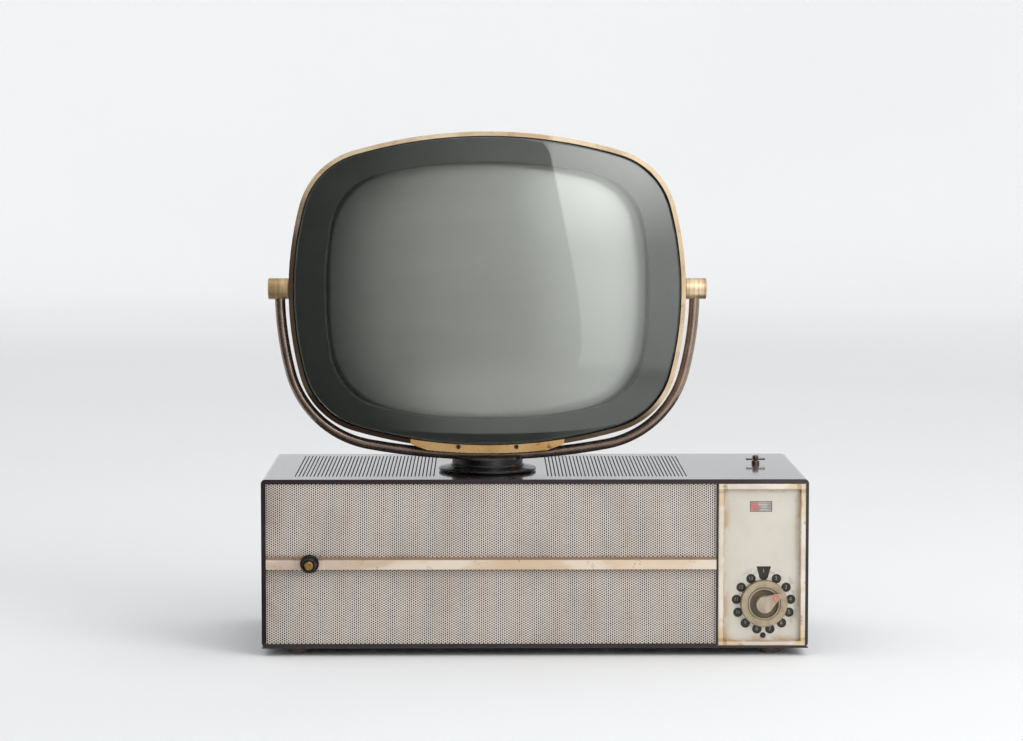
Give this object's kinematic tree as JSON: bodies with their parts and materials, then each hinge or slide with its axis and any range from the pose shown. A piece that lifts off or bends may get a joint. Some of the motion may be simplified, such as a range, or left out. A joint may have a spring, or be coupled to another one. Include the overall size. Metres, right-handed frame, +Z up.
{
  "type": "swivel screen tube television",
  "caption": "Table television: low perforated-front cabinet with dial and volume knobs, and a separate rounded picture head that swivels and tilts in a bent tube yoke.",
  "frame": {"origin": "on the floor under the middle of the set's outer box", "axes": "+X to the viewer's right, +Y backwards, +Z up; the screen and controls face -Y"},
  "size_m": [0.622, 0.3346, 0.5958],
  "materials": {
    "antenna_metal": "dulled nickel",
    "black_paint": "black enamel, gloss",
    "brass": "brushed brass, lacquered",
    "brass_plain": "plain brass",
    "cabinet_paint": "baked enamel, dark mauve brown, semi gloss",
    "clear_window": "clear tinted window",
    "clip_gold": "pale brass plate",
    "copper_winding": "enamelled copper",
    "cream_panel": "cream back-painted plastic",
    "foot_rubber": "aged rubber",
    "gold_frame": "worn gold lacquer on die casting",
    "grille_paint": "ivory grey enamel on perforated steel",
    "hardboard": "pressed hardboard",
    "knob_plastic": "dark brown moulding",
    "lamp_lens": "translucent lens",
    "magnet_steel": "ground",
    "mask_grey": "dark grey green moulding",
    "number_plate": "black",
    "pale_gold": "pale gold lacquer",
    "paper_cone": "pressed paper",
    "phenolic": "brown phenolic",
    "plated_steel": "cadmium plated steel",
    "shell_brown": "dark brown moulding",
    "steel_screw": "plated steel",
    "tan_plastic": "tan moulding",
    "transformer_black": "black enamel",
    "tube_glass": "grey green screen glass",
    "valve_glass": "clear glass",
    "volume_black": "gloss black",
    "yoke_bronze": "bronze brown lacquer"
  },
  "bodies": {
    "cabinet": {"cabinet_wrap": "cabinet_paint", "cabinet_bottom": "cabinet_paint", "feet": "foot_rubber", "rear_cover": "hardboard", "rear_cover_screws": "steel_screw", "speaker_grille": "grille_paint", "front_baffle": "black_paint", "trim_bar": "pale_gold", "bar_escutcheon": "pale_gold", "panel_divider": "black_paint", "control_panel_frame": "gold_frame", "control_panel": "cream_panel", "channel_number_plate": "number_plate", "indicator_window": "lamp_lens", "panel_screw": "black_paint", "tuner_box": "plated_steel", "volume_pot": "phenolic", "speaker_frame": "black_paint", "speaker_cone": "paper_cone", "speaker_magnet": "magnet_steel", "chassis": "plated_steel", "power_transformer": "transformer_black", "valves": "valve_glass", "flyback_cage": "plated_steel", "rear_control_pots": "phenolic", "interlock_inlet": "phenolic", "interlock_pins": "brass_plain", "antenna_terminals": "phenolic", "antenna_barrel": "antenna_metal", "swivel_base": "black_paint", "spindle_bush": "brass_plain"},
    "volume_control": {"volume_knob": "volume_black", "volume_knob_cap": "brass_plain", "volume_shaft": "steel_screw"},
    "channel_selector": {"channel_knob": "tan_plastic", "tuner_shaft": "steel_screw"},
    "fine_tuning": {"fine_tuning_ring": "tan_plastic"},
    "antenna_middle": {"antenna_mid": "antenna_metal"},
    "antenna_end": {"antenna_tip": "antenna_metal"},
    "brightness_control": {"brightness_knob": "knob_plastic"},
    "contrast_control": {"contrast_knob": "knob_plastic"},
    "vertical_hold_control": {"vertical_hold_knob": "knob_plastic"},
    "horizontal_hold_control": {"horizontal_hold_knob": "knob_plastic"},
    "yoke": {"swivel_hub": "black_paint", "swivel_spindle": "steel_screw", "spindle_nut": "steel_screw", "yoke_tube": "yoke_bronze", "pivot_housing_left": "brass", "pivot_housing_right": "brass"},
    "head": {"trim_ring": "brass", "front_window": "clear_window", "screen_mask": "mask_grey", "window_clip": "clip_gold", "clip_screws": "black_paint", "picture_tube": "tube_glass", "deflection_coil": "copper_winding", "tube_base_socket": "phenolic", "rear_shell": "shell_brown", "neck_cap": "shell_brown", "pivot_pins": "steel_screw"}
  },
  "joints": [
    {"name": "head_swivel", "type": "hinge", "parent": "cabinet", "child": "yoke", "pos_m": [-0.054, -0.04725, 0.2], "axis": [0, 0, 1], "range_deg": [-90, 90]},
    {"name": "head_tilt", "type": "hinge", "parent": "yoke", "child": "head", "pos_m": [-0.054, -0.04725, 0.414], "axis": [-1, 0, 0], "range_deg": [-2.5, 15]},
    {"name": "volume_turn", "type": "hinge", "parent": "cabinet", "child": "volume_control", "pos_m": [-0.2558, -0.14225, 0.1072], "axis": [0, 1, 0], "range_deg": [0, 300]},
    {"name": "channel_turn", "type": "hinge", "parent": "cabinet", "child": "channel_selector", "pos_m": [0.2605, -0.14225, 0.0604], "axis": [0, 1, 0], "continuous": true},
    {"name": "fine_tuning_turn", "type": "hinge", "parent": "cabinet", "child": "fine_tuning", "pos_m": [0.2605, -0.14225, 0.0604], "axis": [0, 1, 0], "range_deg": [-150, 150]},
    {"name": "antenna_middle_slide", "type": "slide", "parent": "cabinet", "child": "antenna_middle", "axis": [0, 0, 1], "range_m": [0, 0.14]},
    {"name": "antenna_end_slide", "type": "slide", "parent": "antenna_middle", "child": "antenna_end", "axis": [0, 0, 1], "range_m": [0, 0.14]},
    {"name": "brightness_turn", "type": "hinge", "parent": "cabinet", "child": "brightness_control", "pos_m": [0.06, 0.12775, 0.036], "axis": [0, -1, 0], "range_deg": [-135, 135]},
    {"name": "contrast_turn", "type": "hinge", "parent": "cabinet", "child": "contrast_control", "pos_m": [0.095, 0.12775, 0.036], "axis": [0, -1, 0], "range_deg": [-135, 135]},
    {"name": "vertical_hold_turn", "type": "hinge", "parent": "cabinet", "child": "vertical_hold_control", "pos_m": [0.13, 0.12775, 0.036], "axis": [0, -1, 0], "range_deg": [-135, 135]},
    {"name": "horizontal_hold_turn", "type": "hinge", "parent": "cabinet", "child": "horizontal_hold_control", "pos_m": [0.165, 0.12775, 0.036], "axis": [0, -1, 0], "range_deg": [-135, 135]}
  ]
}
